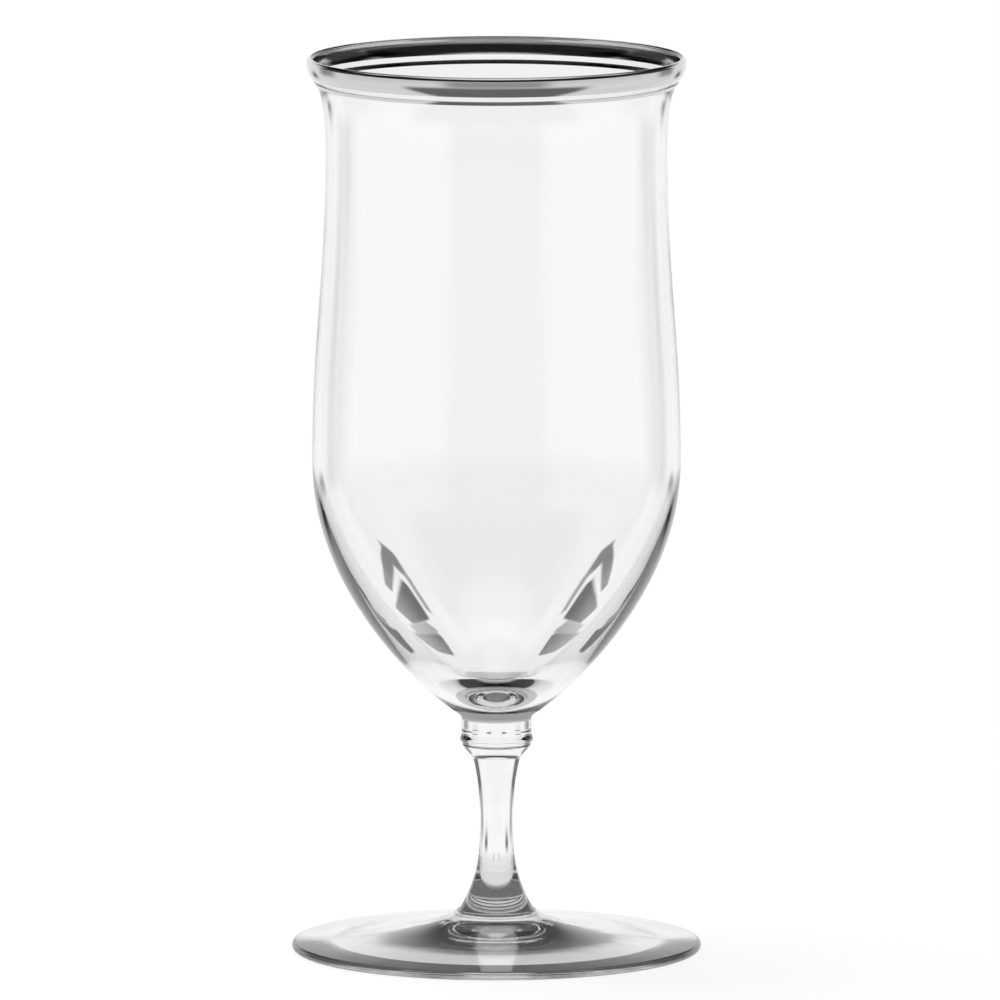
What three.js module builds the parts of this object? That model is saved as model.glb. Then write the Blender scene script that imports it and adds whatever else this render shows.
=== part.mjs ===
// A clear-glass goblet: a blown bowl with a flared lip, a collar, a drawn stem and a pressed foot, fused end
// to end while hot, with a wide and a thin band of bright metal fired on round the outside of the lip.
// Millimetres, +Z up. The origin is the middle of the ring that the goblet stands on.
import * as THREE from 'three';

// Foot: a disc with a rounded edge, a hollow underside and a low boss that takes the stem
const FOOT_DIAMETER = 84;
const FOOT_EDGE_THICKNESS = 1.8;
const FOOT_HEIGHT = 8.3;
const FOOT_SLOPE_DEGREES = 6;
const FOOT_SLOPE_LENGTH = 15;
const FOOT_RING_WIDTH = 7.1;
const FOOT_HOLLOW_DEPTH = 2.2;
const FOOT_BOSS_LEDGE = 0.4;
const FOOT_BOSS_SPREAD = 2.1;
const FOOT_BOSS_DROP = 3.5;

// Stem: a solid rod, narrow at its neck, that flares to the foot and, less, to the collar
const STEM_LOWER_LENGTH = 17.4;
const STEM_UPPER_LENGTH = 14.25;
const STEM_NECK_DIAMETER = 6.7;
const STEM_BASE_DIAMETER = 15.4;
const STEM_BASE_FLARE_DEGREES = 33;
const STEM_TOP_DIAMETER = 9.8;
const STEM_TOP_FLARE_DEGREES = 15;

// Collar: a button of glass with a sloping shoulder, a small bead and a straight side up to the bowl
const COLLAR_BASE_LEDGE = 0.15;
const COLLAR_SHOULDER_DIAMETER = 14;
const COLLAR_SHOULDER_HEIGHT = 2.55;
const COLLAR_SHOULDER_ROUNDING = 0.5;
const COLLAR_SHOULDER_TO_BEAD = 1.2;
const COLLAR_BEAD_DIAMETER = 14.9;
const COLLAR_BEAD_TO_SIDE = 1.2;
const COLLAR_SIDE_DIAMETER = 14.3;
const COLLAR_SIDE_HEIGHT = 2.8;

// Bowl outside: a fillet on the collar, then stations stacked one above the other up to the top of the lip
const BOWL_FILLET_SPREAD = 1.6;
const BOWL_FILLET_HEIGHT = 1.8;
const BOWL_UNDERSIDE_SLOPE_DEGREES = 31.5;
const BELLY_DIAMETER = 75.4;
const BELLY_HEIGHT = 53;
const BELLY_TO_WAIST = 64.2;
const WAIST_DRAW_IN = 2.8;
const WAIST_TO_RIM = 19.1;
const LIP_FLARE = 3.7;

// Bowl outside: how far the outline keeps its direction before it turns to the next station
const UNDERSIDE_REACH = 3.5;
const BELLY_REACH_DOWN = 28.5;
const BELLY_REACH_UP = 27.5;
const WAIST_REACH_DOWN = 26.5;
const WAIST_REACH_UP = 16.9;
const LIP_REACH = 5.2;

// Bowl wall: thin at the lip, thicker at the belly, thickest at the bottom
const LIP_WALL = 1.3;
const WAIST_WALL = 1.25;
const BELLY_WALL = 1.9;
const BOTTOM_WALL = 6.2;
const INSIDE_BELLY_REACH = 22;
const INSIDE_BOTTOM_REACH = 11;

// Metal bands on the lip: widths are measured down from where the lip's edge is rounded over
const RIM_BAND_WIDTH = 3.2;
const HAIRLINE_GAP = 0.85;
const HAIRLINE_WIDTH = 0.9;
const METAL_THICKNESS = 0.12;
const METAL_CLEARANCE = 0.05;

// Fineness: facets round the axis, and steps along each kind of curve
const FACETS = 48;
const LIP_FLARE_STEPS = 16;
const LONG_CURVE_STEPS = 10;
const SHORT_CURVE_STEPS = 6;

// Heights above the table, from the foot's joint with the stem up to the top of the lip
const stemBaseZ = FOOT_HEIGHT;
const neckZ = stemBaseZ + STEM_LOWER_LENGTH;
const collarBaseZ = neckZ + STEM_UPPER_LENGTH;
const shoulderZ = collarBaseZ + COLLAR_SHOULDER_HEIGHT;
const beadZ = shoulderZ + COLLAR_SHOULDER_TO_BEAD;
const collarSideZ = beadZ + COLLAR_BEAD_TO_SIDE;
const bowlBaseZ = collarSideZ + COLLAR_SIDE_HEIGHT;
const bellyZ = bowlBaseZ + BELLY_HEIGHT;
const waistZ = bellyZ + BELLY_TO_WAIST;
const rimTopZ = waistZ + WAIST_TO_RIM;

const point = (radius, height) => new THREE.Vector2(radius, height);

// A curve that leaves its first point towards one handle and reaches its last point from the other
function bend(start, startHandle, endHandle, end) {
  return new THREE.CubicBezierCurve(start, startHandle, endHandle, end);
}

// The point that lies a length away from another, at an angle above the outward direction
function along(start, length, degrees) {
  const angle = THREE.MathUtils.degToRad(degrees);
  return point(start.x + length * Math.cos(angle), start.y + length * Math.sin(angle));
}

function roundEdge(middle, radius, fromAngle, toAngle) {
  return new THREE.EllipseCurve(middle.x, middle.y, radius, radius, fromAngle, toAngle);
}

// Joins corners and sampled curves into one outline, leaving out a point that repeats the one before it
function outlineOf(...stretches) {
  const outline = [];
  for (const stretch of stretches) {
    const points = Array.isArray(stretch) ? stretch : [stretch];
    for (const next of points) {
      const last = outline.at(-1);
      if (!last || last.distanceTo(next) > 1e-6) outline.push(next);
    }
  }
  return outline;
}

// Turns an outline, given from the bottom of the axis round to the top, into a solid of revolution about Z
function revolve(name, outline, material) {
  const geometry = new THREE.LatheGeometry(outline, FACETS);
  geometry.rotateX(Math.PI / 2);
  const mesh = new THREE.Mesh(geometry, material);
  mesh.name = name;
  return mesh;
}

function clearGlass() {
  return new THREE.MeshStandardMaterial({
    color: 0xf1f4f4,
    roughness: 0.03,
    metalness: 0,
    transparent: true,
    opacity: 0.35,
  });
}

function brightMetal() {
  return new THREE.MeshStandardMaterial({ color: 0xd6d5d2, roughness: 0.08, metalness: 1 });
}

function makeFoot() {
  const edgeRadius = FOOT_EDGE_THICKNESS / 2;
  const edgeMiddle = point(FOOT_DIAMETER / 2 - edgeRadius, edgeRadius);
  const hollowRadius = edgeMiddle.x - FOOT_RING_WIDTH;
  const hollow = new THREE.QuadraticBezierCurve(
    point(0, FOOT_HOLLOW_DEPTH),
    point(hollowRadius / 2, FOOT_HOLLOW_DEPTH),
    point(hollowRadius, 0),
  );
  const edge = roundEdge(edgeMiddle, edgeRadius, -Math.PI / 2, Math.PI / 2);
  const edgeTop = point(edgeMiddle.x, FOOT_EDGE_THICKNESS);
  const bossTop = point(STEM_BASE_DIAMETER / 2 + FOOT_BOSS_LEDGE, FOOT_HEIGHT);
  const top = bend(
    edgeTop,
    along(edgeTop, FOOT_SLOPE_LENGTH, 180 - FOOT_SLOPE_DEGREES),
    point(bossTop.x + FOOT_BOSS_SPREAD, bossTop.y - FOOT_BOSS_DROP),
    bossTop,
  );
  const outline = outlineOf(
    hollow.getPoints(SHORT_CURVE_STEPS),
    edge.getPoints(SHORT_CURVE_STEPS),
    top.getPoints(LONG_CURVE_STEPS),
    point(0, FOOT_HEIGHT),
  );
  return revolve('foot', outline, clearGlass());
}

function makeStem() {
  const base = point(STEM_BASE_DIAMETER / 2, stemBaseZ);
  const neck = point(STEM_NECK_DIAMETER / 2, neckZ);
  const top = point(STEM_TOP_DIAMETER / 2, collarBaseZ);
  const lowerReach = STEM_LOWER_LENGTH / 3;
  const upperReach = STEM_UPPER_LENGTH / 3;
  const baseFlare = Math.tan(THREE.MathUtils.degToRad(STEM_BASE_FLARE_DEGREES));
  const topFlare = Math.tan(THREE.MathUtils.degToRad(STEM_TOP_FLARE_DEGREES));
  const lower = bend(
    base,
    point(base.x - lowerReach * baseFlare, base.y + lowerReach),
    point(neck.x, neck.y - lowerReach),
    neck,
  );
  const upper = bend(
    neck,
    point(neck.x, neck.y + upperReach),
    point(top.x - upperReach * topFlare, top.y - upperReach),
    top,
  );
  const outline = outlineOf(
    point(0, stemBaseZ),
    lower.getPoints(LONG_CURVE_STEPS),
    upper.getPoints(LONG_CURVE_STEPS),
    point(0, collarBaseZ),
  );
  return revolve('stem', outline, clearGlass());
}

function makeCollar() {
  const base = point(STEM_TOP_DIAMETER / 2 + COLLAR_BASE_LEDGE, collarBaseZ);
  const shoulder = point(COLLAR_SHOULDER_DIAMETER / 2, shoulderZ);
  const bead = point(COLLAR_BEAD_DIAMETER / 2, beadZ);
  const sideFoot = point(COLLAR_SIDE_DIAMETER / 2, collarSideZ);
  const sideTop = point(sideFoot.x, bowlBaseZ);
  const underReach = COLLAR_SHOULDER_TO_BEAD / 2;
  const overReach = COLLAR_BEAD_TO_SIDE / 2;
  const slope = new THREE.QuadraticBezierCurve(
    base,
    point(shoulder.x, shoulder.y - COLLAR_SHOULDER_ROUNDING),
    shoulder,
  );
  const underBead = bend(
    shoulder,
    point(shoulder.x, shoulder.y + underReach),
    point(bead.x, bead.y - underReach),
    bead,
  );
  const overBead = bend(
    bead,
    point(bead.x, bead.y + overReach),
    point(sideFoot.x, sideFoot.y - overReach),
    sideFoot,
  );
  const outline = outlineOf(
    point(0, collarBaseZ),
    slope.getPoints(SHORT_CURVE_STEPS),
    underBead.getPoints(SHORT_CURVE_STEPS),
    overBead.getPoints(SHORT_CURVE_STEPS),
    sideTop,
    point(0, bowlBaseZ),
  );
  return revolve('collar', outline, clearGlass());
}

// The stations of the bowl's outside that its wall and its metal bands are measured from
const lipRounding = LIP_WALL / 2;
const padEdge = point(COLLAR_SIDE_DIAMETER / 2, bowlBaseZ);
const filletTop = point(padEdge.x + BOWL_FILLET_SPREAD, bowlBaseZ + BOWL_FILLET_HEIGHT);
const belly = point(BELLY_DIAMETER / 2, bellyZ);
const waist = point(belly.x - WAIST_DRAW_IN, waistZ);
const lip = point(waist.x + LIP_FLARE, rimTopZ - lipRounding);

// The lip's outline from the waist up to where its edge is rounded over, moved in by a wall at each end
function lipFlare(waistWall, lipWall) {
  const low = point(waist.x - waistWall, waist.y);
  const high = point(lip.x - lipWall, lip.y);
  return bend(low, point(low.x, low.y + WAIST_REACH_UP), point(high.x, high.y - LIP_REACH), high);
}

// The side's outline from the belly up to the waist, moved in by a wall at each end
function side(bellyWall, waistWall) {
  const low = point(belly.x - bellyWall, belly.y);
  const high = point(waist.x - waistWall, waist.y);
  return bend(low, point(low.x, low.y + BELLY_REACH_UP), point(high.x, high.y - WAIST_REACH_DOWN), high);
}

function makeBowl() {
  const filletHandle = along(filletTop, BOWL_FILLET_SPREAD, 180 + BOWL_UNDERSIDE_SLOPE_DEGREES);
  const fillet = new THREE.QuadraticBezierCurve(padEdge, point(padEdge.x, filletHandle.y), filletTop);
  const underside = bend(
    filletTop,
    along(filletTop, UNDERSIDE_REACH, BOWL_UNDERSIDE_SLOPE_DEGREES),
    point(belly.x, belly.y - BELLY_REACH_DOWN),
    belly,
  );
  const lipMiddle = point(lip.x - lipRounding, lip.y);
  const lipEdge = roundEdge(lipMiddle, lipRounding, 0, Math.PI);
  const insideBelly = point(belly.x - BELLY_WALL, belly.y);
  const insideBottom = point(0, bowlBaseZ + BOTTOM_WALL);
  const inside = bend(
    insideBelly,
    point(insideBelly.x, insideBelly.y - INSIDE_BELLY_REACH),
    point(INSIDE_BOTTOM_REACH, insideBottom.y),
    insideBottom,
  );
  const outline = outlineOf(
    point(0, bowlBaseZ),
    fillet.getPoints(SHORT_CURVE_STEPS),
    underside.getPoints(LONG_CURVE_STEPS),
    side(0, 0).getPoints(SHORT_CURVE_STEPS),
    lipFlare(0, 0).getPoints(LIP_FLARE_STEPS),
    lipEdge.getPoints(SHORT_CURVE_STEPS),
    lipFlare(WAIST_WALL, LIP_WALL).getPoints(LIP_FLARE_STEPS).reverse(),
    side(BELLY_WALL, WAIST_WALL).getPoints(SHORT_CURVE_STEPS).reverse(),
    inside.getPoints(LONG_CURVE_STEPS),
  );
  return revolve('bowl', outline, clearGlass());
}

// How far along a rising curve it reaches a height, found by halving the stretch that holds it
function parameterAtHeight(curve, height) {
  let low = 0;
  let high = 1;
  for (let halving = 0; halving < 40; halving += 1) {
    const middle = (low + high) / 2;
    if (curve.getPoint(middle).y < height) low = middle;
    else high = middle;
  }
  return (low + high) / 2;
}

// A thin ring of metal that follows the outside of the lip between two drops from its rounded edge
function makeBand(name, topDrop, bottomDrop) {
  const flare = lipFlare(0, 0);
  const from = parameterAtHeight(flare, lip.y - bottomDrop);
  const to = parameterAtHeight(flare, lip.y - topDrop);
  const face = (standOff) => {
    const points = [];
    for (let step = 0; step <= SHORT_CURVE_STEPS; step += 1) {
      const where = THREE.MathUtils.lerp(from, to, step / SHORT_CURVE_STEPS);
      const direction = flare.getTangent(where);
      const outward = point(direction.y, -direction.x);
      points.push(flare.getPoint(where).addScaledVector(outward, standOff));
    }
    return points;
  };
  const outer = face(METAL_CLEARANCE + METAL_THICKNESS);
  const inner = face(METAL_CLEARANCE).reverse();
  return revolve(name, outlineOf(outer, inner, outer[0].clone()), brightMetal());
}

const hairlineTop = RIM_BAND_WIDTH + HAIRLINE_GAP;

const goblet = new THREE.Group();
goblet.name = 'goblet';
goblet.add(
  makeFoot(),
  makeStem(),
  makeCollar(),
  makeBowl(),
  makeBand('rim_band', 0, RIM_BAND_WIDTH),
  makeBand('hairline_band', hairlineTop, hairlineTop + HAIRLINE_WIDTH),
);

export default goblet;
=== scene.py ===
import math

import bpy
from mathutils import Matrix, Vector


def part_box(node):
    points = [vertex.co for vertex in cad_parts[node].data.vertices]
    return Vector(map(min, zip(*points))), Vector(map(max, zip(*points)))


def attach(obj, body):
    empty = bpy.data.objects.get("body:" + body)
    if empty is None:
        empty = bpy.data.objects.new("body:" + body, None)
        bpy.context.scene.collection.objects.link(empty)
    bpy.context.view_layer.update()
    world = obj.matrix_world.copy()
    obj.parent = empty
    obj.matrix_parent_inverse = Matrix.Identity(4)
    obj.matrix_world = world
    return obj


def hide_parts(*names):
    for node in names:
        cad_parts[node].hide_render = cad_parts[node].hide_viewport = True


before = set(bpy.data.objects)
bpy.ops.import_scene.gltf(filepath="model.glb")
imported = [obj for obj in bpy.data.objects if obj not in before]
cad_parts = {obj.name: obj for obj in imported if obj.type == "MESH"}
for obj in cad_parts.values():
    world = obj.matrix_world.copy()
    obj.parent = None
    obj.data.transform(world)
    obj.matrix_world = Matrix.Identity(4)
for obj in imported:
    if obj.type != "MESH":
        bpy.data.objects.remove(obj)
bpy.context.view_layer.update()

MM = 0.001


def reach_of(node):
    """A node's largest radius and its top height, in millimetres."""
    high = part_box(node)[1]
    return high[0] / MM, high[2] / MM


# Sizes in millimetres: reaches and joint heights come from the frame, the rest repeats the construction
FOOT_RADIUS, FOOT_TOP = reach_of("foot")
FOOT_EDGE_THICKNESS = 1.8
FOOT_SLOPE_DEGREES = 6
FOOT_SLOPE_LENGTH = 15
FOOT_RING_WIDTH = 7.1
FOOT_HOLLOW_DEPTH = 2.2
FOOT_BOSS_LEDGE = 0.4
FOOT_BOSS_SPREAD = 2.1
FOOT_BOSS_DROP = 3.5

STEM_BASE_RADIUS, STEM_TOP = reach_of("stem")
STEM_LOWER_LENGTH = 17.4
STEM_NECK_RADIUS = 3.35
STEM_TOP_RADIUS = 4.9
STEM_BASE_FLARE_DEGREES = 33
STEM_TOP_FLARE_DEGREES = 15

BEAD_RADIUS, COLLAR_TOP = reach_of("collar")
COLLAR_BASE_LEDGE = 0.15
SHOULDER_RADIUS = 7
SHOULDER_HEIGHT = 2.55
SHOULDER_ROUNDING = 0.5
SHOULDER_TO_BEAD = 1.2
BEAD_TO_SIDE = 1.2
COLLAR_SIDE_RADIUS = 7.15

LIP_RADIUS, RIM_TOP = reach_of("bowl")
BOWL_FILLET_SPREAD = 1.6
BOWL_FILLET_HEIGHT = 1.8
BOWL_UNDERSIDE_SLOPE_DEGREES = 31.5
LIP_FLARE = 3.7
WAIST_DRAW_IN = 2.8
WAIST_TO_RIM = 19.1
BELLY_TO_WAIST = 64.2
UNDERSIDE_REACH = 3.5
BELLY_REACH_DOWN = 28.5
BELLY_REACH_UP = 27.5
WAIST_REACH_DOWN = 26.5
WAIST_REACH_UP = 16.9
LIP_REACH = 5.2
LIP_WALL = 1.3
WAIST_WALL = 1.25
BELLY_WALL = 1.9
BOTTOM_WALL = 6.2
INSIDE_BELLY_REACH = 22
INSIDE_BOTTOM_REACH = 11

RIM_BAND_WIDTH = 3.2
HAIRLINE_GAP = 0.85
HAIRLINE_WIDTH = 0.9
METAL_THICKNESS = 0.12
METAL_CLEARANCE = 0.05

# What only the finished surface shows: soft joints, and the film that runs over the edge of the lip
JOINT_ROUNDING = 0.12
BAND_WRAP_DEGREES = 95

# Fineness: facets round the axis, and steps along each kind of curve
FACETS = 192
LONG_STEPS = 64
SHORT_STEPS = 20
JOINT_STEPS = 8
BAND_SEARCH_STEPS = 2560
SHARP_CORNER_DEGREES = 35

# Distances below which points or heights count as the same: in millimetres, then twice in metres
SAME_POINT = 1e-6
SAME_VERTEX = 1e-6
SAME_HEIGHT = 2e-7

# Camera: distance and aim in millimetres; the object's axis stands a little left of the picture's middle
PICTURE_PIXELS = 1000
CAMERA_DISTANCE = 4000
CAMERA_ELEVATION_DEGREES = 7.8
CAMERA_AIM_HEIGHT = 92.9
CAMERA_PIXELS_PER_MM = 4.886
CAMERA_SENSOR = 36
AXIS_PIXEL = 496.5


def add_node(tree, kind, links=None, **settings):
    """Adds a node, sets its properties, and gives each named or numbered input a value or a link."""
    node = tree.nodes.new(kind)
    for name, value in settings.items():
        setattr(node, name, value)
    for name, source in (links or {}).items():
        if isinstance(source, bpy.types.NodeSocket):
            tree.links.new(source, node.inputs[name])
        else:
            node.inputs[name].default_value = source
    return node


def linear(hex_colour):
    """An sRGB hex colour as a linear RGBA tuple."""
    channels = [int(hex_colour[start:start + 2], 16) / 255 for start in (1, 3, 5)]
    return tuple(c / 12.92 if c <= 0.04045 else ((c + 0.055) / 1.055) ** 2.4 for c in channels) + (1,)


# Outlines: points are (radius, height) in millimetres


def along(start, length, degrees):
    """The point that lies a length away from another, at an angle above the outward direction."""
    angle = math.radians(degrees)
    return start[0] + length * math.cos(angle), start[1] + length * math.sin(angle)


def bezier_point(handles, t):
    """The point at t of a curve with any number of handles, found by drawing its hull in step by step."""
    points = list(handles)
    while len(points) > 1:
        points = [
            (a[0] + (b[0] - a[0]) * t, a[1] + (b[1] - a[1]) * t)
            for a, b in zip(points, points[1:])
        ]
    return points[0]


def curve(handles, steps):
    return [bezier_point(handles, step / steps) for step in range(steps + 1)]


def round_edge(middle, radius, from_degrees, to_degrees):
    return [
        along(middle, radius, from_degrees + (to_degrees - from_degrees) * step / SHORT_STEPS)
        for step in range(SHORT_STEPS + 1)
    ]


def outline_of(*stretches):
    """Joins stretches of points into one outline, leaving out a point that repeats the one before it."""
    outline = []
    for stretch in stretches:
        for point in stretch:
            if not outline or math.dist(outline[-1], point) > SAME_POINT:
                outline.append(point)
    return outline


def foot_outline():
    edge_radius = FOOT_EDGE_THICKNESS / 2
    edge_middle = (FOOT_RADIUS - edge_radius, edge_radius)
    hollow_radius = edge_middle[0] - FOOT_RING_WIDTH
    hollow = ((0, FOOT_HOLLOW_DEPTH), (hollow_radius / 2, FOOT_HOLLOW_DEPTH), (hollow_radius, 0))
    edge_top = (edge_middle[0], FOOT_EDGE_THICKNESS)
    boss = (STEM_BASE_RADIUS + FOOT_BOSS_LEDGE, FOOT_TOP - JOINT_ROUNDING)
    top = (
        edge_top,
        along(edge_top, FOOT_SLOPE_LENGTH, 180 - FOOT_SLOPE_DEGREES),
        (boss[0] + FOOT_BOSS_SPREAD, FOOT_TOP - FOOT_BOSS_DROP),
        boss,
    )
    shoulder = (boss, (boss[0], FOOT_TOP), (STEM_BASE_RADIUS, FOOT_TOP))
    return outline_of(
        curve(hollow, LONG_STEPS),
        round_edge(edge_middle, edge_radius, -90, 90),
        curve(top, LONG_STEPS),
        curve(shoulder, JOINT_STEPS),
        [(0, FOOT_TOP)],
    )


def stem_outline():
    base = (STEM_BASE_RADIUS, FOOT_TOP)
    neck = (STEM_NECK_RADIUS, FOOT_TOP + STEM_LOWER_LENGTH)
    top = (STEM_TOP_RADIUS, STEM_TOP)
    lower_reach = STEM_LOWER_LENGTH / 3
    upper_reach = (top[1] - neck[1]) / 3
    base_lean = lower_reach * math.tan(math.radians(STEM_BASE_FLARE_DEGREES))
    top_lean = upper_reach * math.tan(math.radians(STEM_TOP_FLARE_DEGREES))
    lower = (base, (base[0] - base_lean, base[1] + lower_reach), (neck[0], neck[1] - lower_reach), neck)
    upper = (neck, (neck[0], neck[1] + upper_reach), (top[0] - top_lean, top[1] - upper_reach), top)
    return outline_of(
        [(0, FOOT_TOP)],
        curve(lower, LONG_STEPS),
        curve(upper, LONG_STEPS),
        [(0, STEM_TOP)],
    )


def collar_outline():
    base = (STEM_TOP_RADIUS + COLLAR_BASE_LEDGE, STEM_TOP + JOINT_ROUNDING)
    shoulder = (SHOULDER_RADIUS, STEM_TOP + SHOULDER_HEIGHT)
    bead = (BEAD_RADIUS, shoulder[1] + SHOULDER_TO_BEAD)
    side_foot = (COLLAR_SIDE_RADIUS, bead[1] + BEAD_TO_SIDE)
    under_reach = SHOULDER_TO_BEAD / 2
    over_reach = BEAD_TO_SIDE / 2
    ledge = ((STEM_TOP_RADIUS, STEM_TOP), (base[0], STEM_TOP), base)
    slope = (base, (shoulder[0], shoulder[1] - SHOULDER_ROUNDING), shoulder)
    under_bead = (
        shoulder,
        (shoulder[0], shoulder[1] + under_reach),
        (bead[0], bead[1] - under_reach),
        bead,
    )
    over_bead = (
        bead,
        (bead[0], bead[1] + over_reach),
        (side_foot[0], side_foot[1] - over_reach),
        side_foot,
    )
    return outline_of(
        [(0, STEM_TOP)],
        curve(ledge, JOINT_STEPS),
        curve(slope, LONG_STEPS),
        curve(under_bead, SHORT_STEPS),
        curve(over_bead, SHORT_STEPS),
        [(COLLAR_SIDE_RADIUS, COLLAR_TOP), (0, COLLAR_TOP)],
    )


# The stations of the bowl's outside that its wall and its metal bands are measured from
LIP_ROUNDING = LIP_WALL / 2
PAD_EDGE = (COLLAR_SIDE_RADIUS, COLLAR_TOP)
FILLET_TOP = (PAD_EDGE[0] + BOWL_FILLET_SPREAD, COLLAR_TOP + BOWL_FILLET_HEIGHT)
LIP = (LIP_RADIUS, RIM_TOP - LIP_ROUNDING)
WAIST = (LIP[0] - LIP_FLARE, RIM_TOP - WAIST_TO_RIM)
BELLY = (WAIST[0] + WAIST_DRAW_IN, WAIST[1] - BELLY_TO_WAIST)


def lip_flare(waist_wall, lip_wall):
    """The lip's curve from the waist up to where its edge is rounded over, moved in by a wall at each end."""
    low = (WAIST[0] - waist_wall, WAIST[1])
    high = (LIP[0] - lip_wall, LIP[1])
    return low, (low[0], low[1] + WAIST_REACH_UP), (high[0], high[1] - LIP_REACH), high


def side(belly_wall, waist_wall):
    """The side's curve from the belly up to the waist, moved in by a wall at each end."""
    low = (BELLY[0] - belly_wall, BELLY[1])
    high = (WAIST[0] - waist_wall, WAIST[1])
    return low, (low[0], low[1] + BELLY_REACH_UP), (high[0], high[1] - WAIST_REACH_DOWN), high


def bowl_outline():
    fillet_handle = along(FILLET_TOP, BOWL_FILLET_SPREAD, 180 + BOWL_UNDERSIDE_SLOPE_DEGREES)
    fillet = (PAD_EDGE, (PAD_EDGE[0], fillet_handle[1]), FILLET_TOP)
    underside = (
        FILLET_TOP,
        along(FILLET_TOP, UNDERSIDE_REACH, BOWL_UNDERSIDE_SLOPE_DEGREES),
        (BELLY[0], BELLY[1] - BELLY_REACH_DOWN),
        BELLY,
    )
    inside_belly = (BELLY[0] - BELLY_WALL, BELLY[1])
    inside_bottom = (0, COLLAR_TOP + BOTTOM_WALL)
    inside = (
        inside_belly,
        (inside_belly[0], inside_belly[1] - INSIDE_BELLY_REACH),
        (INSIDE_BOTTOM_REACH, inside_bottom[1]),
        inside_bottom,
    )
    return outline_of(
        [(0, COLLAR_TOP)],
        curve(fillet, SHORT_STEPS),
        curve(underside, LONG_STEPS),
        curve(side(0, 0), SHORT_STEPS),
        curve(lip_flare(0, 0), LONG_STEPS),
        round_edge((LIP[0] - LIP_ROUNDING, LIP[1]), LIP_ROUNDING, 0, 180),
        curve(lip_flare(WAIST_WALL, LIP_WALL), LONG_STEPS)[::-1],
        curve(side(BELLY_WALL, WAIST_WALL), SHORT_STEPS)[::-1],
        curve(inside, LONG_STEPS),
    )


def band_outline(top_drop, bottom_drop, over_the_edge):
    """A thin ring that follows the outside of the lip between two drops, and may run on over its edge."""
    flare = curve(lip_flare(0, 0), BAND_SEARCH_STEPS)
    face = [point for point in flare if bottom_drop >= LIP[1] - point[1] >= top_drop]
    face = face[::max(1, len(face) // SHORT_STEPS)]
    if over_the_edge:
        face += round_edge((LIP[0] - LIP_ROUNDING, LIP[1]), LIP_ROUNDING, 0, BAND_WRAP_DEGREES)[1:]
    outer = []
    inner = []
    for before, point, after in zip(face, face[1:], face[2:]):
        length = math.dist(before, after)
        outward = ((after[1] - before[1]) / length, (before[0] - after[0]) / length)
        for line, stand_off in ((inner, METAL_CLEARANCE), (outer, METAL_CLEARANCE + METAL_THICKNESS)):
            line.append((point[0] + outward[0] * stand_off, point[1] + outward[1] * stand_off))
    return outline_of(outer, inner[::-1], [outer[0]])


# Turned pieces: one tree turns an outline about the axis and tells joint faces from polished ones


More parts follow.
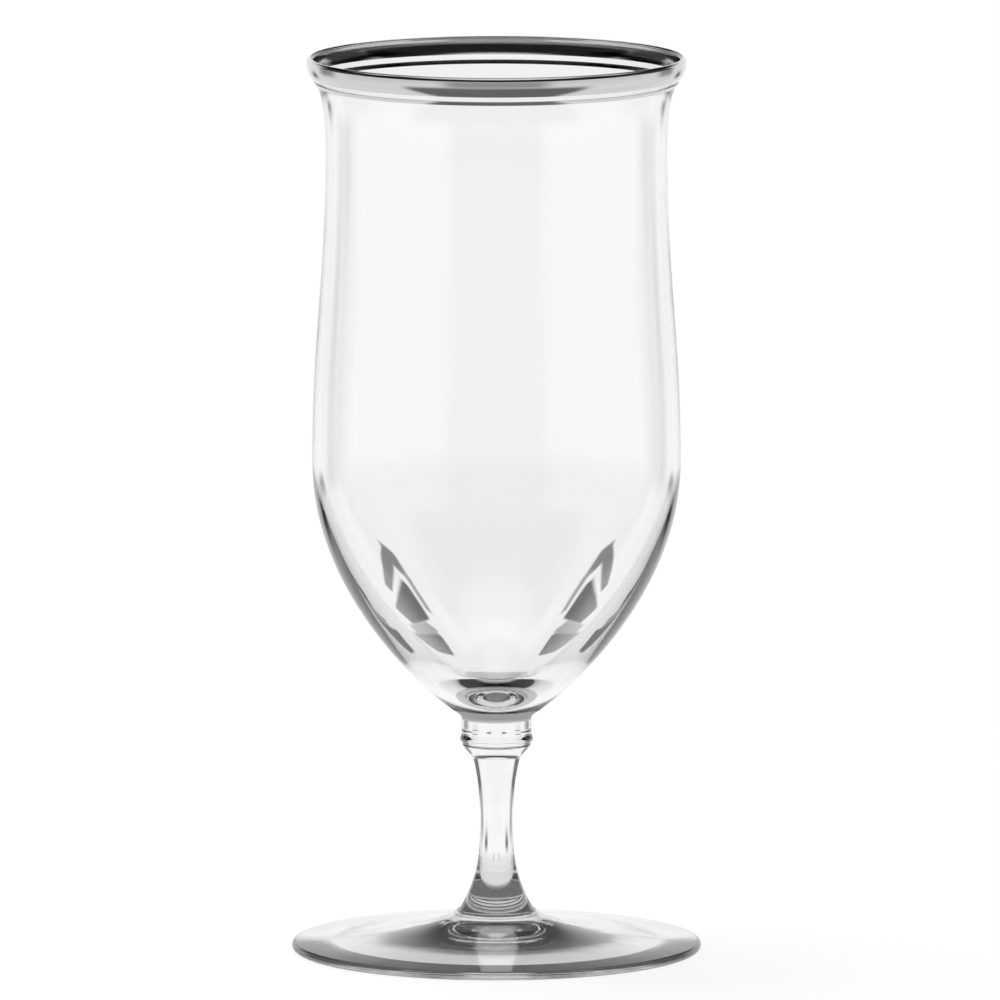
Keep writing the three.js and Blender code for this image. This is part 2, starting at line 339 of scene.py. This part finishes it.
def turning_tree():
    """Outline points in, a closed turned body out: polished faces and joint faces have their own material."""
    tree = bpy.data.node_groups.new("turned_about_the_axis", "GeometryNodeTree")
    for name, kind in (
        ("Outline", "NodeSocketGeometry"),
        ("Facets", "NodeSocketInt"),
        ("Lower joint", "NodeSocketFloat"),
        ("Upper joint", "NodeSocketFloat"),
        ("Polished", "NodeSocketMaterial"),
        ("Fused", "NodeSocketMaterial"),
    ):
        tree.interface.new_socket(name, in_out="INPUT", socket_type=kind)
    tree.interface.new_socket("Piece", in_out="OUTPUT", socket_type="NodeSocketGeometry")

    given = add_node(tree, "NodeGroupInput").outputs
    count = add_node(
        tree, "GeometryNodeAttributeDomainSize", {"Geometry": given["Outline"]}, component="MESH"
    ).outputs["Point Count"]
    columns = add_node(
        tree, "FunctionNodeIntegerMath", {0: given["Facets"], 1: 1}, operation="ADD"
    ).outputs[0]
    grid = add_node(
        tree, "GeometryNodeMeshGrid", {"Vertices X": columns, "Vertices Y": count}
    ).outputs["Mesh"]
    index = add_node(tree, "GeometryNodeInputIndex").outputs[0]
    turn = add_node(
        tree, "FunctionNodeIntegerMath", {0: index, 1: count}, operation="DIVIDE_FLOOR"
    ).outputs[0]
    place = add_node(tree, "FunctionNodeIntegerMath", {0: index, 1: count}, operation="MODULO").outputs[0]
    position = add_node(tree, "GeometryNodeInputPosition").outputs[0]
    on_outline = add_node(
        tree,
        "GeometryNodeSampleIndex",
        {"Geometry": given["Outline"], "Value": position, "Index": place},
        data_type="FLOAT_VECTOR",
    ).outputs["Value"]
    share = add_node(tree, "ShaderNodeMath", {0: turn, 1: given["Facets"]}, operation="DIVIDE").outputs[0]
    angle = add_node(tree, "ShaderNodeMath", {0: share, 1: math.tau}, operation="MULTIPLY").outputs[0]
    turned = add_node(
        tree, "ShaderNodeVectorRotate", {"Vector": on_outline, "Angle": angle}, rotation_type="Z_AXIS"
    ).outputs[0]
    shape = add_node(tree, "GeometryNodeSetPosition", {"Geometry": grid, "Position": turned}).outputs[0]
    shape = add_node(
        tree, "GeometryNodeMergeByDistance", {"Geometry": shape, "Distance": SAME_VERTEX}
    ).outputs[0]

    corner = add_node(tree, "GeometryNodeInputMeshEdgeAngle").outputs["Unsigned Angle"]
    sharp = add_node(
        tree,
        "FunctionNodeCompare",
        {0: corner, 1: math.radians(SHARP_CORNER_DEGREES)},
        operation="GREATER_THAN",
    ).outputs[0]
    shape = add_node(tree, "GeometryNodeSetShadeSmooth", {"Geometry": shape}, domain="FACE").outputs[0]
    shape = add_node(
        tree,
        "GeometryNodeSetShadeSmooth",
        {"Geometry": shape, "Selection": sharp, "Shade Smooth": False},
        domain="EDGE",
    ).outputs[0]

    shape = add_node(tree, "GeometryNodeRealizeInstances", {"Geometry": shape}).outputs[0]
    shape = add_node(
        tree, "GeometryNodeSetMaterial", {"Geometry": shape, "Material": given["Polished"]}
    ).outputs[0]
    height = add_node(tree, "ShaderNodeSeparateXYZ", {0: position}).outputs["Z"]
    for joint in ("Lower joint", "Upper joint"):
        fused = add_node(
            tree,
            "FunctionNodeCompare",
            {"A": height, "B": given[joint], "Epsilon": SAME_HEIGHT},
            operation="EQUAL",
        ).outputs[0]
        shape = add_node(
            tree,
            "GeometryNodeSetMaterial",
            {"Geometry": shape, "Selection": fused, "Material": given["Fused"]},
        ).outputs[0]
    add_node(tree, "NodeGroupOutput", {"Piece": shape})
    return tree


def turned_piece(name, outline, tree, sizes):
    """Turns an outline into a plain mesh that stands for the frame's node of the same name."""
    points = [(radius * MM, 0, height * MM) for radius, height in outline]
    mesh = bpy.data.meshes.new(name)
    mesh.from_pydata(points, [], [])
    piece = bpy.data.objects.new(f"{name}_piece", mesh)
    bpy.context.scene.collection.objects.link(piece)
    modifier = piece.modifiers.new("turned", "NODES")
    modifier.node_group = tree
    for item in tree.interface.items_tree:
        if item.name in sizes:
            modifier[item.identifier] = sizes[item.name]
    evaluated = piece.evaluated_get(bpy.context.evaluated_depsgraph_get())
    body = bpy.data.meshes.new_from_object(evaluated)
    # A grid starts with one empty material slot
    body.materials.pop(index=0)
    piece.modifiers.clear()
    piece.data = body
    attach(piece, "root")
    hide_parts(name)


# Materials


GLASS_IOR = 1.52
BLOWN_SWELL_LENGTH = 14
BLOWN_SWELL_DEPTH = 0.015
PRESSED_SWELL_LENGTH = 9
PRESSED_SWELL_DEPTH = 0.03
PRESSED_ROUGHNESS = 0.06

# Painted light: a soft grey, lit by the studio, that stands for light that only comes back after more inner
# reflections than are followed here.
# It lies on the bowl's seam with the collar, under the foot and at both ends of the stem.
PAINTED_LIGHT_COLOUR = "#F4F4F4"
SEAM_PAINTED_LIGHT = 0.7
SEAM_PAINTED_LIGHT_HEIGHT = 2.4
SEAM_PAINTED_LIGHT_RADIUS = 14
UNDERSIDE_PAINTED_LIGHT = 0.1
UNDERSIDE_PAINTED_LIGHT_HEIGHT = 2.4
UNDERSIDE_PAINTED_LIGHT_RADIUS = 35
STEM_END_PAINTED_LIGHT = 0.3
PAINTED_LIGHT_FADE_UP = 0.15
PAINTED_LIGHT_FADE_OUT = 3

STREAK_LENGTH = 18
STREAK_HEIGHT = 0.4
STREAK_LOW = 0.3
STREAK_HIGH = 0.7
LUSTRE_SMOOTHEST = 0.05
LUSTRE_ROUGHEST = 0.16


def clear_glass(name, roughness, swell_length, swell_depth):
    """Colourless soda glass: clear, with the low swell that its making left, so that edges waver a little."""
    material = bpy.data.materials.new(name)
    material.use_nodes = True
    tree = material.node_tree
    place = add_node(tree, "ShaderNodeTexCoord").outputs["Object"]
    swell = add_node(
        tree, "ShaderNodeTexNoise", {"Vector": place, "Scale": 1 / (swell_length * MM), "Detail": 1.0}
    ).outputs[0]
    wavy = add_node(
        tree, "ShaderNodeBump", {"Height": swell, "Strength": 1.0, "Distance": swell_depth * MM}
    ).outputs[0]
    surface = tree.nodes["Principled BSDF"]
    surface.inputs["Base Color"].default_value = linear("#FEFEFE")
    surface.inputs["Roughness"].default_value = roughness
    surface.inputs["IOR"].default_value = GLASS_IOR
    surface.inputs["Transmission Weight"].default_value = 1.0
    tree.links.new(wavy, surface.inputs["Normal"])
    return material


def paint_light_below(material, share, top, reach):
    """Lays painted light, a soft grey that stands for light lost in inner reflections, over a material below
    a height and within a radius, fading out at both.
    """
    tree = material.node_tree
    place = add_node(tree, "ShaderNodeTexCoord").outputs["Object"]
    height = add_node(tree, "ShaderNodeSeparateXYZ", {0: place}).outputs["Z"]
    level = add_node(
        tree, "ShaderNodeVectorMath", {0: place, 1: (1, 1, 0)}, operation="MULTIPLY"
    ).outputs[0]
    radius = add_node(tree, "ShaderNodeVectorMath", {0: level}, operation="LENGTH").outputs["Value"]
    for value, edge, fade in ((height, top, PAINTED_LIGHT_FADE_UP), (radius, reach, PAINTED_LIGHT_FADE_OUT)):
        share = add_node(
            tree,
            "ShaderNodeMapRange",
            {
                "Value": value,
                "From Min": (edge - fade) * MM,
                "From Max": edge * MM,
                "To Min": share,
                "To Max": 0.0,
            },
            interpolation_type="SMOOTHSTEP",
        ).outputs[0]
    # Painted light: a grey that throws back and lets through the studio's light where inner reflections would
    # have brought it
    thrown_back = add_node(tree, "ShaderNodeBsdfDiffuse", {"Color": linear(PAINTED_LIGHT_COLOUR)}).outputs[0]
    let_through = add_node(tree, "ShaderNodeBsdfTranslucent", {"Color": linear(PAINTED_LIGHT_COLOUR)}).outputs[0]
    stand_in_light = add_node(tree, "ShaderNodeMixShader", {0: 0.5, 1: thrown_back, 2: let_through}).outputs[0]
    surface = tree.nodes["Principled BSDF"].outputs[0]
    with_stand_in_light = add_node(tree, "ShaderNodeMixShader", {0: share, 1: surface, 2: stand_in_light}).outputs[0]
    tree.links.new(with_stand_in_light, tree.nodes["Material Output"].inputs["Surface"])


def fused_joint(name, painted_light_share):
    """Glass fused to glass: light passes with no bend, as no surface is left, but for a share of painted
    light, a soft grey that stands for light lost in inner reflections.
    """
    material = bpy.data.materials.new(name)
    material.use_nodes = True
    tree = material.node_tree
    tree.nodes.remove(tree.nodes["Principled BSDF"])
    through = add_node(tree, "ShaderNodeBsdfTransparent").outputs[0]
    # Painted light: a share of grey that lets the studio's light through, standing for light lost in inner
    # reflections
    stand_in_light = add_node(tree, "ShaderNodeBsdfTranslucent", {"Color": linear(PAINTED_LIGHT_COLOUR)}).outputs[0]
    seam = add_node(tree, "ShaderNodeMixShader", {0: painted_light_share, 1: through, 2: stand_in_light}).outputs[0]
    tree.links.new(seam, tree.nodes["Material Output"].inputs["Surface"])
    return material


def bright_lustre():
    """Fired lustre: a thin mirror of pale grey metal, with faint streaks such as a banding brush leaves."""
    material = bpy.data.materials.new("fired_platinum_lustre")
    material.use_nodes = True
    tree = material.node_tree
    place = add_node(tree, "ShaderNodeTexCoord").outputs["Object"]
    per_length = 1 / (STREAK_LENGTH * MM)
    drawn_out = add_node(
        tree,
        "ShaderNodeMapping",
        {"Vector": place, "Scale": (per_length, per_length, 1 / (STREAK_HEIGHT * MM))},
    ).outputs[0]
    streaks = add_node(
        tree, "ShaderNodeTexNoise", {"Vector": drawn_out, "Scale": 1.0, "Detail": 3.0}
    ).outputs[0]
    tone = add_node(tree, "ShaderNodeValToRGB", {0: streaks})
    tone.color_ramp.elements[0].color = linear("#C8C7C5")
    tone.color_ramp.elements[1].color = linear("#DDDCDA")
    dulling = add_node(
        tree,
        "ShaderNodeMapRange",
        {
            "Value": streaks,
            "From Min": STREAK_LOW,
            "From Max": STREAK_HIGH,
            "To Min": LUSTRE_SMOOTHEST,
            "To Max": LUSTRE_ROUGHEST,
        },
    ).outputs[0]
    surface = tree.nodes["Principled BSDF"]
    surface.inputs["Metallic"].default_value = 1.0
    tree.links.new(tone.outputs[0], surface.inputs["Base Color"])
    tree.links.new(dulling, surface.inputs["Roughness"])
    return material


# Studio: a white field with cards placed by direction, a floor, a lamp and the camera


FIELD_BRIGHTNESS = 0.97
UNSEEN_BRIGHTNESS = 0.5

# Each card: its middle in degrees off the far side, how far that moves per degree of rise, half its width,
# its lowest and highest rise, its brightness, and the softness of its edges. All angles are in degrees.
CARDS = (
    # Dark, high on the near side and on the far side
    (172, -0.26, 84, 0, 62, 0.02, 5),
    (34, 0.38, 62, 18.5, 45, 0, 6.5),
    # Dark, at both sides
    (66, 0, 22, -2, 26, 0.06, 5),
    (53, 0, 9, -13, -1, 0.35, 5),
    # Low on the near side: they grey the front of the bands and the reflections in the bowl
    (130, 0, 52, -13, 0, 0.85, 6),
    (180, 0, 62, -78, -25, 0.18, 6),
    (180, 0, 32, -24, -3, 0.4, 8),
    # Two patches of the far side, one high up and one low down
    (0, 0, 50, 40, 62, 0.32, 4),
    (29, 0, 5, -16, -10.5, 0.1, 3),
    # Small cards low on the far side, which the lower bowl shows as two comma-shaped marks
    (-13.16, -1, 1.04, -26.5, -18.3, 0.04, 0.15),
    (-14.85, -1, 0.7, -30, -22, 0.4, 0.3),
    (-18, -1, 2.5, -34, -23, 0.13, 0.4),
    (-1.2, -0.25, 2.5, -36, -17.6, 0.98, 0.2),
    (-11.45, -1, 0.3, -22, -16.7, 0.14, 0.1),
    (1, -0.25, 0.38, -17.6, -16.4, 0.16, 0.15),
    (0.75, -0.25, 0.2, -19.5, -17.3, 0.35, 0.12),
)


def seen_in_the_object(tree):
    """One for a ray that an object's gloss or glass sends on, and nought for any other."""
    path = add_node(tree, "ShaderNodeLightPath").outputs
    return add_node(
        tree,
        "ShaderNodeMath",
        {0: path["Is Glossy Ray"], 1: path["Is Transmission Ray"]},
        operation="MAXIMUM",
    ).outputs[0]


def studio_world():
    """A white field in which soft-edged cards stand, each over those before it, left and right alike."""
    world = bpy.data.worlds.new("bright_field_studio")
    bpy.context.scene.world = world
    world.use_nodes = True
    tree = world.node_tree
    direction = add_node(tree, "ShaderNodeTexCoord").outputs["Generated"]
    axes = add_node(tree, "ShaderNodeSeparateXYZ", {0: direction}).outputs
    across = add_node(tree, "ShaderNodeMath", {0: axes["X"]}, operation="ABSOLUTE").outputs[0]
    turn = add_node(tree, "ShaderNodeMath", {0: across, 1: axes["Y"]}, operation="ARCTAN2").outputs[0]
    azimuth = add_node(tree, "ShaderNodeMath", {0: turn}, operation="DEGREES").outputs[0]
    rise = add_node(tree, "ShaderNodeMath", {0: axes["Z"]}, operation="ARCSINE").outputs[0]
    elevation = add_node(tree, "ShaderNodeMath", {0: rise}, operation="DEGREES").outputs[0]
    light = FIELD_BRIGHTNESS
    for middle, lean, half_width, lowest, highest, brightness, softness in CARDS:
        place = add_node(
            tree, "ShaderNodeMath", {0: elevation, 1: lean, 2: middle}, operation="MULTIPLY_ADD"
        ).outputs[0]
        off = add_node(tree, "ShaderNodeMath", {0: azimuth, 1: place}, operation="SUBTRACT").outputs[0]
        off = add_node(tree, "ShaderNodeMath", {0: off}, operation="ABSOLUTE").outputs[0]
        share = 1.0
        for value, edge, outward in ((off, half_width, 1), (elevation, highest, 1), (elevation, lowest, -1)):
            share = add_node(
                tree,
                "ShaderNodeMapRange",
                {
                    "Value": value,
                    "From Min": edge - outward * softness,
                    "From Max": edge + outward * softness,
                    "To Min": share,
                    "To Max": 0.0,
                },
                interpolation_type="SMOOTHSTEP",
            ).outputs[0]
        light = add_node(tree, "ShaderNodeMix", {0: share, 2: light, 3: brightness}).outputs[0]
    light = add_node(
        tree, "ShaderNodeMix", {0: seen_in_the_object(tree), 2: UNSEEN_BRIGHTNESS, 3: light}
    ).outputs[0]
    straight = add_node(tree, "ShaderNodeLightPath").outputs["Is Camera Ray"]
    light = add_node(tree, "ShaderNodeMath", {0: light, 1: straight}, operation="MAXIMUM").outputs[0]
    tree.links.new(light, tree.nodes["Background"].inputs["Color"])


FLOOR_RADIUS = 400
FLOOR_FADE = 250
FLOOR_DROP = 0.2
SHADOW_SHARE = 0.12

# What the glass and the metal show of the floor is painted shadow: a dark spot under the stem, then a light
# painted shade out past the foot
PAINTED_SHADOW_RADIUS = 11
PAINTED_SHADOW_EDGE = 17
PAINTED_SHADOW_BRIGHTNESS = 0.15
SHADE_BRIGHTNESS = 0.85
SHADE_RADIUS = 46
SHADE_EDGE = 69


def studio_floor():
    """A white round of floor that keeps a faint shadow near the foot and fades into the white field; near the
    foot, glass and metal see a painted shadow in its place.
    """
    mesh = bpy.data.meshes.new("floor")
    angles = [math.tau * step / FACETS for step in range(FACETS)]
    radius = FLOOR_RADIUS * MM
    rim = [(radius * math.cos(angle), radius * math.sin(angle), 0) for angle in angles]
    mesh.from_pydata(rim, [], [list(range(FACETS))])
    floor = bpy.data.objects.new("floor", mesh)
    floor.location.z = -FLOOR_DROP * MM
    bpy.context.scene.collection.objects.link(floor)
    material = bpy.data.materials.new("white_floor_paper")
    material.use_nodes = True
    tree = material.node_tree
    tree.nodes.remove(tree.nodes["Principled BSDF"])
    white = add_node(tree, "ShaderNodeEmission", {"Color": (1, 1, 1, 1), "Strength": 1.0}).outputs[0]
    paper = add_node(tree, "ShaderNodeBsdfDiffuse", {"Color": linear("#F4F4F4")}).outputs[0]
    place = add_node(tree, "ShaderNodeTexCoord").outputs["Object"]
    far = add_node(tree, "ShaderNodeVectorMath", {0: place}, operation="LENGTH").outputs["Value"]
    share = add_node(
        tree,
        "ShaderNodeMapRange",
        {"Value": far, "From Min": 0.0, "From Max": FLOOR_FADE * MM, "To Min": SHADOW_SHARE, "To Max": 0.0},
        interpolation_type="SMOOTHSTEP",
    ).outputs[0]
    seen = add_node(tree, "ShaderNodeMixShader", {0: share, 1: white, 2: paper}).outputs[0]
    # Painted shadow: a grey glow, dark under the stem and lighter out past the foot, that glass and metal see
    # instead of the floor's own shading
    dusk = add_node(
        tree,
        "ShaderNodeMapRange",
        {
            "Value": far,
            "From Min": PAINTED_SHADOW_RADIUS * MM,
            "From Max": PAINTED_SHADOW_EDGE * MM,
            "To Min": PAINTED_SHADOW_BRIGHTNESS,
            "To Max": SHADE_BRIGHTNESS,
        },
        interpolation_type="SMOOTHSTEP",
    ).outputs[0]
    shade = add_node(tree, "ShaderNodeEmission", {"Color": dusk, "Strength": 1.0}).outputs[0]
    clear = add_node(tree, "ShaderNodeBsdfTransparent").outputs[0]
    near = add_node(
        tree,
        "ShaderNodeMapRange",
        {
            "Value": far,
            "From Min": SHADE_RADIUS * MM,
            "From Max": SHADE_EDGE * MM,
            "To Min": 1.0,
            "To Max": 0.0,
        },
        interpolation_type="SMOOTHSTEP",
    ).outputs[0]
    below = add_node(tree, "ShaderNodeMixShader", {0: near, 1: clear, 2: shade}).outputs[0]
    shown = add_node(
        tree, "ShaderNodeMixShader", {0: seen_in_the_object(tree), 1: seen, 2: below}
    ).outputs[0]
    tree.links.new(shown, tree.nodes["Material Output"].inputs["Surface"])
    mesh.materials.append(material)


SOFT_BOX_PLACE = (-250, 200, 900)
SOFT_BOX_DIAMETER = 600
SOFT_BOX_WATTS = 9


def studio_lamp():
    """A soft lamp above and behind that throws the faint shadow; neither glass nor metal shows it."""
    lamp = bpy.data.lights.new("soft_box", "AREA")
    lamp.shape = "DISK"
    lamp.size = SOFT_BOX_DIAMETER * MM
    lamp.energy = SOFT_BOX_WATTS
    soft_box = bpy.data.objects.new("soft_box", lamp)
    soft_box.location = [length * MM for length in SOFT_BOX_PLACE]
    soft_box.rotation_euler = (-soft_box.location).to_track_quat("-Z", "Y").to_euler()
    soft_box.visible_glossy = False
    soft_box.visible_transmission = False
    bpy.context.scene.collection.objects.link(soft_box)


def photograph_camera():
    """The photo's view: a long lens that looks down a little, with the axis left of the picture's middle."""
    camera_data = bpy.data.cameras.new("camera")
    camera_data.sensor_width = CAMERA_SENSOR
    camera_data.lens = CAMERA_SENSOR * CAMERA_DISTANCE * CAMERA_PIXELS_PER_MM / PICTURE_PIXELS
    camera = bpy.data.objects.new("camera", camera_data)
    aside = (PICTURE_PIXELS / 2 - AXIS_PIXEL) / CAMERA_PIXELS_PER_MM
    rise = math.radians(CAMERA_ELEVATION_DEGREES)
    camera.location = (
        aside * MM,
        -CAMERA_DISTANCE * math.cos(rise) * MM,
        (CAMERA_AIM_HEIGHT + CAMERA_DISTANCE * math.sin(rise)) * MM,
    )
    camera.rotation_euler = (math.radians(90) - rise, 0, 0)
    bpy.context.scene.collection.objects.link(camera)
    bpy.context.scene.camera = camera


photograph_camera()
studio_world()
studio_floor()
studio_lamp()

# A height below the foot, where no face lies
NO_JOINT = -MM
turning = turning_tree()
blown_glass = clear_glass("fire_polished_blown_glass", 0.0, BLOWN_SWELL_LENGTH, BLOWN_SWELL_DEPTH)
# Painted light on the bowl's seam with the collar
paint_light_below(blown_glass, SEAM_PAINTED_LIGHT, COLLAR_TOP + SEAM_PAINTED_LIGHT_HEIGHT, SEAM_PAINTED_LIGHT_RADIUS)
drawn_glass = clear_glass("fire_polished_drawn_glass", 0.0, BLOWN_SWELL_LENGTH, BLOWN_SWELL_DEPTH)
pressed_glass = clear_glass(
    "fire_polished_pressed_glass", PRESSED_ROUGHNESS, PRESSED_SWELL_LENGTH, PRESSED_SWELL_DEPTH
)
# Painted light under the foot
paint_light_below(pressed_glass, UNDERSIDE_PAINTED_LIGHT, UNDERSIDE_PAINTED_LIGHT_HEIGHT, UNDERSIDE_PAINTED_LIGHT_RADIUS)
clear_joint = fused_joint("fused_glass_joint", 0.0)
# Painted light at both ends of the stem
joint_with_painted_light = fused_joint("fused_glass_joint_with_painted_light", STEM_END_PAINTED_LIGHT)
lustre = bright_lustre()


def glass_piece(name, outline, lower_joint, upper_joint, glass, joint):
    sizes = {"Facets": FACETS, "Lower joint": lower_joint, "Upper joint": upper_joint}
    turned_piece(name, outline, turning, sizes | {"Polished": glass, "Fused": joint})


def metal_piece(name, outline):
    sizes = {"Facets": FACETS, "Lower joint": NO_JOINT, "Upper joint": NO_JOINT}
    turned_piece(name, outline, turning, sizes | {"Polished": lustre, "Fused": lustre})


glass_piece("foot", foot_outline(), NO_JOINT, FOOT_TOP * MM, pressed_glass, joint_with_painted_light)
glass_piece("stem", stem_outline(), FOOT_TOP * MM, STEM_TOP * MM, drawn_glass, joint_with_painted_light)
glass_piece("collar", collar_outline(), STEM_TOP * MM, COLLAR_TOP * MM, drawn_glass, clear_joint)
glass_piece("bowl", bowl_outline(), COLLAR_TOP * MM, NO_JOINT, blown_glass, clear_joint)
metal_piece("rim_band", band_outline(0, RIM_BAND_WIDTH, True))
hairline_top = RIM_BAND_WIDTH + HAIRLINE_GAP
metal_piece("hairline_band", band_outline(hairline_top, hairline_top + HAIRLINE_WIDTH, False))

bpy.context.scene.view_settings.view_transform = "Standard"
